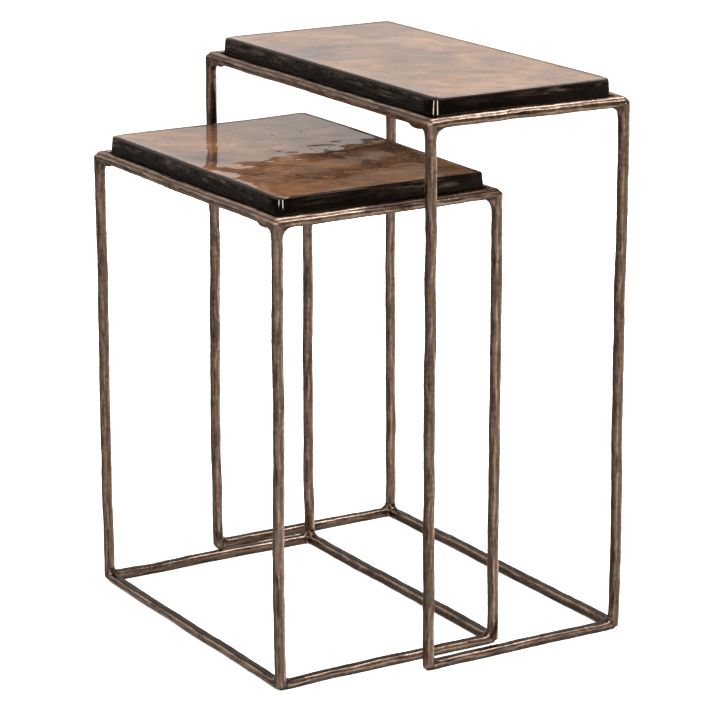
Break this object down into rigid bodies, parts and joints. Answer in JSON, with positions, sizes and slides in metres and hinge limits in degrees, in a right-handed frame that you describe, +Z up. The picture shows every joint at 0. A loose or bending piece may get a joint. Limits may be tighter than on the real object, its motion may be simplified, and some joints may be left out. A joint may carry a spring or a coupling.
{
  "type": "nesting tables",
  "caption": "Tall and short side tables on hammered bronze bar frames; the short one slides out from under the tall one. Black slab tops with a glossy brown patina.",
  "frame": {"origin": "on the floor, in the middle of the box around both tables with the short one pulled out as shown", "axes": "+Z up; +X along the tables' long side; -Y towards the open front, where the short table slides out"},
  "size_m": [0.467, 0.406, 0.6035],
  "materials": {
    "frame_bronze": "satin",
    "slab_black": "gloss",
    "panel_patina": "gloss",
    "washer_rubber": "matte",
    "screw_steel": "satin"
  },
  "bodies": {
    "tall_table": {"tall_leg_front_left": "frame_bronze", "tall_leg_front_right": "frame_bronze", "tall_leg_back_left": "frame_bronze", "tall_leg_back_right": "frame_bronze", "tall_top_rail_front": "frame_bronze", "tall_top_rail_back": "frame_bronze", "tall_top_rail_left": "frame_bronze", "tall_top_rail_right": "frame_bronze", "tall_base_rail_left": "frame_bronze", "tall_base_rail_right": "frame_bronze", "tall_base_rail_back": "frame_bronze", "tall_strap_left": "frame_bronze", "tall_strap_right": "frame_bronze", "tall_slab": "slab_black", "tall_top_panel": "panel_patina", "tall_washer_front_left": "washer_rubber", "tall_washer_front_right": "washer_rubber", "tall_washer_back_left": "washer_rubber", "tall_washer_back_right": "washer_rubber", "tall_screw_front_left": "screw_steel", "tall_screw_front_right": "screw_steel", "tall_screw_back_left": "screw_steel", "tall_screw_back_right": "screw_steel"},
    "short_table": {"short_leg_front_left": "frame_bronze", "short_leg_front_right": "frame_bronze", "short_leg_back_left": "frame_bronze", "short_leg_back_right": "frame_bronze", "short_top_rail_front": "frame_bronze", "short_top_rail_back": "frame_bronze", "short_top_rail_left": "frame_bronze", "short_top_rail_right": "frame_bronze", "short_base_rail_left": "frame_bronze", "short_base_rail_right": "frame_bronze", "short_base_rail_back": "frame_bronze", "short_base_rail_front": "frame_bronze", "short_strap_left": "frame_bronze", "short_strap_right": "frame_bronze", "short_slab": "slab_black", "short_top_panel": "panel_patina", "short_washer_front_left": "washer_rubber", "short_washer_front_right": "washer_rubber", "short_washer_back_left": "washer_rubber", "short_washer_back_right": "washer_rubber", "short_screw_front_left": "screw_steel", "short_screw_front_right": "screw_steel", "short_screw_back_left": "screw_steel", "short_screw_back_right": "screw_steel"}
  },
  "joints": [
    {"name": "short_table_slide", "type": "slide", "parent": "tall_table", "child": "short_table", "axis": [0, -1, 0], "range_m": [-0.123, 0.15]}
  ]
}
